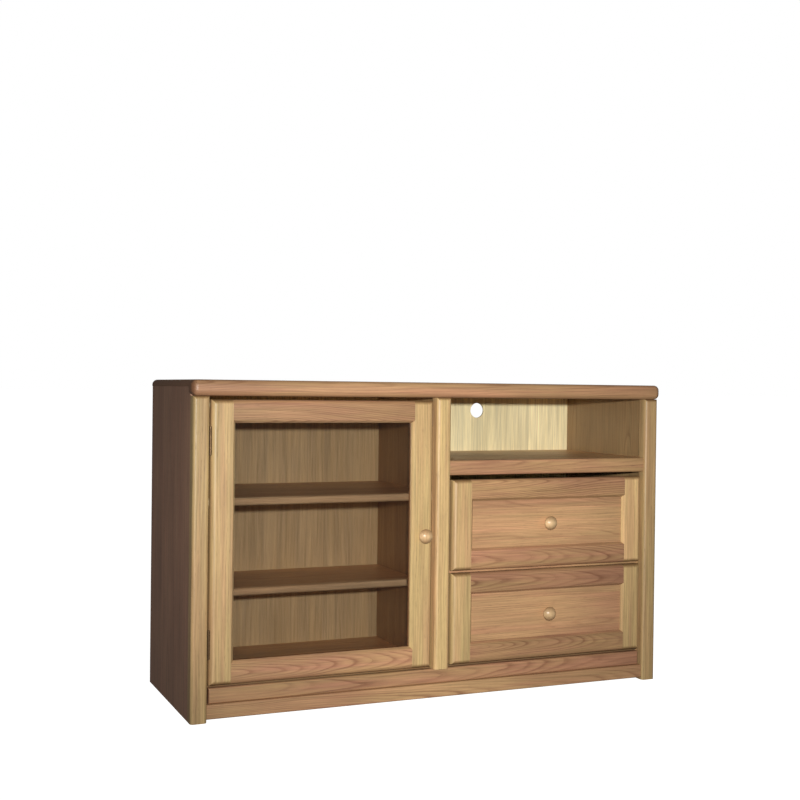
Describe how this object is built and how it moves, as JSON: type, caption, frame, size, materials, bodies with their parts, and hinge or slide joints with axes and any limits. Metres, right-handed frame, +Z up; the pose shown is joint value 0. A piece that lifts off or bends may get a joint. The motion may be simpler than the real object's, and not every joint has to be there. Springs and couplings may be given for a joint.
{
  "type": "media cabinet",
  "caption": "Low oak media cabinet with bullnose posts, a tinted glass door over adjustable shelves, an open component bay and framed drawers on runners.",
  "frame": {"origin": "on the floor, at the centre of the overall width and depth, knobs included", "axes": "+Z up, front faces -Y, +X to the right seen from the front"},
  "size_m": [1.231, 0.449, 0.762],
  "materials": {
    "oak_solid": "satin lacquer",
    "oak_veneer": "satin lacquer",
    "oak_knob": "satin lacquer",
    "pale_plywood": "unfinished",
    "drawer_wood": "clear lacquer",
    "softwood": "sawn",
    "bronze_glass": "polished, bronze tinted",
    "zinc_steel": "zinc plated",
    "slide_steel": "black coated",
    "brass_plate": "dark antique bronze finish",
    "brown_plastic": "moulded"
  },
  "bodies": {
    "cabinet": {"back_panel": "pale_plywood", "base_rail_and_blocks": "softwood", "bottom_panel": "oak_veneer", "bottom_rail": "oak_solid", "cabinet_screws": "zinc_steel", "cabinet_slide_members": "slide_steel", "component_shelf": "oak_veneer", "component_shelf_rail": "oak_solid", "drawer_divider": "oak_solid", "hinge_cabinet_leaves": "brass_plate", "hinge_pins": "brass_plate", "left_post": "oak_solid", "left_side_panel": "oak_veneer", "lower_shelf": "oak_veneer", "magnetic_catch": "brown_plastic", "middle_post": "oak_solid", "partition": "oak_veneer", "right_post": "oak_solid", "right_side_panel": "oak_veneer", "shelf_nosings": "oak_solid", "shelf_pins": "zinc_steel", "slide_cleats": "softwood", "toe_board": "oak_solid", "top_dowels": "softwood", "top_panel": "oak_solid", "upper_shelf": "oak_veneer"},
    "door": {"door_bottom_rail": "oak_solid", "door_glass": "bronze_glass", "door_glass_stops": "oak_solid", "door_knob": "oak_knob", "door_left_stile": "oak_solid", "door_right_stile": "oak_solid", "door_screws": "zinc_steel", "door_top_rail": "oak_solid", "hinge_door_leaves": "brass_plate", "catch_plate": "brass_plate"},
    "upper_drawer": {"upper_drawer_bottom": "pale_plywood", "upper_drawer_bottom_rail": "oak_solid", "upper_drawer_ends": "drawer_wood", "upper_drawer_knob": "oak_knob", "upper_drawer_left_stile": "oak_solid", "upper_drawer_panel": "oak_solid", "upper_drawer_right_stile": "oak_solid", "upper_drawer_screws": "zinc_steel", "upper_drawer_sides": "drawer_wood", "upper_drawer_slide_members": "slide_steel", "upper_drawer_top_rail": "oak_solid"},
    "upper_drawer_slide_middle": {"upper_drawer_slide_middles": "slide_steel"},
    "lower_drawer": {"lower_drawer_bottom": "pale_plywood", "lower_drawer_bottom_rail": "oak_solid", "lower_drawer_ends": "drawer_wood", "lower_drawer_knob": "oak_knob", "lower_drawer_left_stile": "oak_solid", "lower_drawer_panel": "oak_solid", "lower_drawer_right_stile": "oak_solid", "lower_drawer_screws": "zinc_steel", "lower_drawer_sides": "drawer_wood", "lower_drawer_slide_members": "slide_steel", "lower_drawer_top_rail": "oak_solid"},
    "lower_drawer_slide_middle": {"lower_drawer_slide_middles": "slide_steel"}
  },
  "joints": [
    {"name": "door_hinge", "type": "hinge", "parent": "cabinet", "child": "door", "pos_m": [-0.5705, -0.194, 0.39925], "axis": [0, 0, -1], "range_deg": [0, 105]},
    {"name": "upper_drawer_slide", "type": "slide", "parent": "cabinet", "child": "upper_drawer", "axis": [0, -1, 0], "range_m": [0, 0.33]},
    {"name": "upper_drawer_middle_slide", "type": "slide", "parent": "cabinet", "child": "upper_drawer_slide_middle", "axis": [0, -1, 0], "range_m": [0, 0.165]},
    {"name": "lower_drawer_slide", "type": "slide", "parent": "cabinet", "child": "lower_drawer", "axis": [0, -1, 0], "range_m": [0, 0.33]},
    {"name": "lower_drawer_middle_slide", "type": "slide", "parent": "cabinet", "child": "lower_drawer_slide_middle", "axis": [0, -1, 0], "range_m": [0, 0.165]}
  ],
  "couplings": [
    {"joint": "upper_drawer_middle_slide", "follows": "upper_drawer_slide", "ratio": 0.5},
    {"joint": "lower_drawer_middle_slide", "follows": "lower_drawer_slide", "ratio": 0.5}
  ]
}
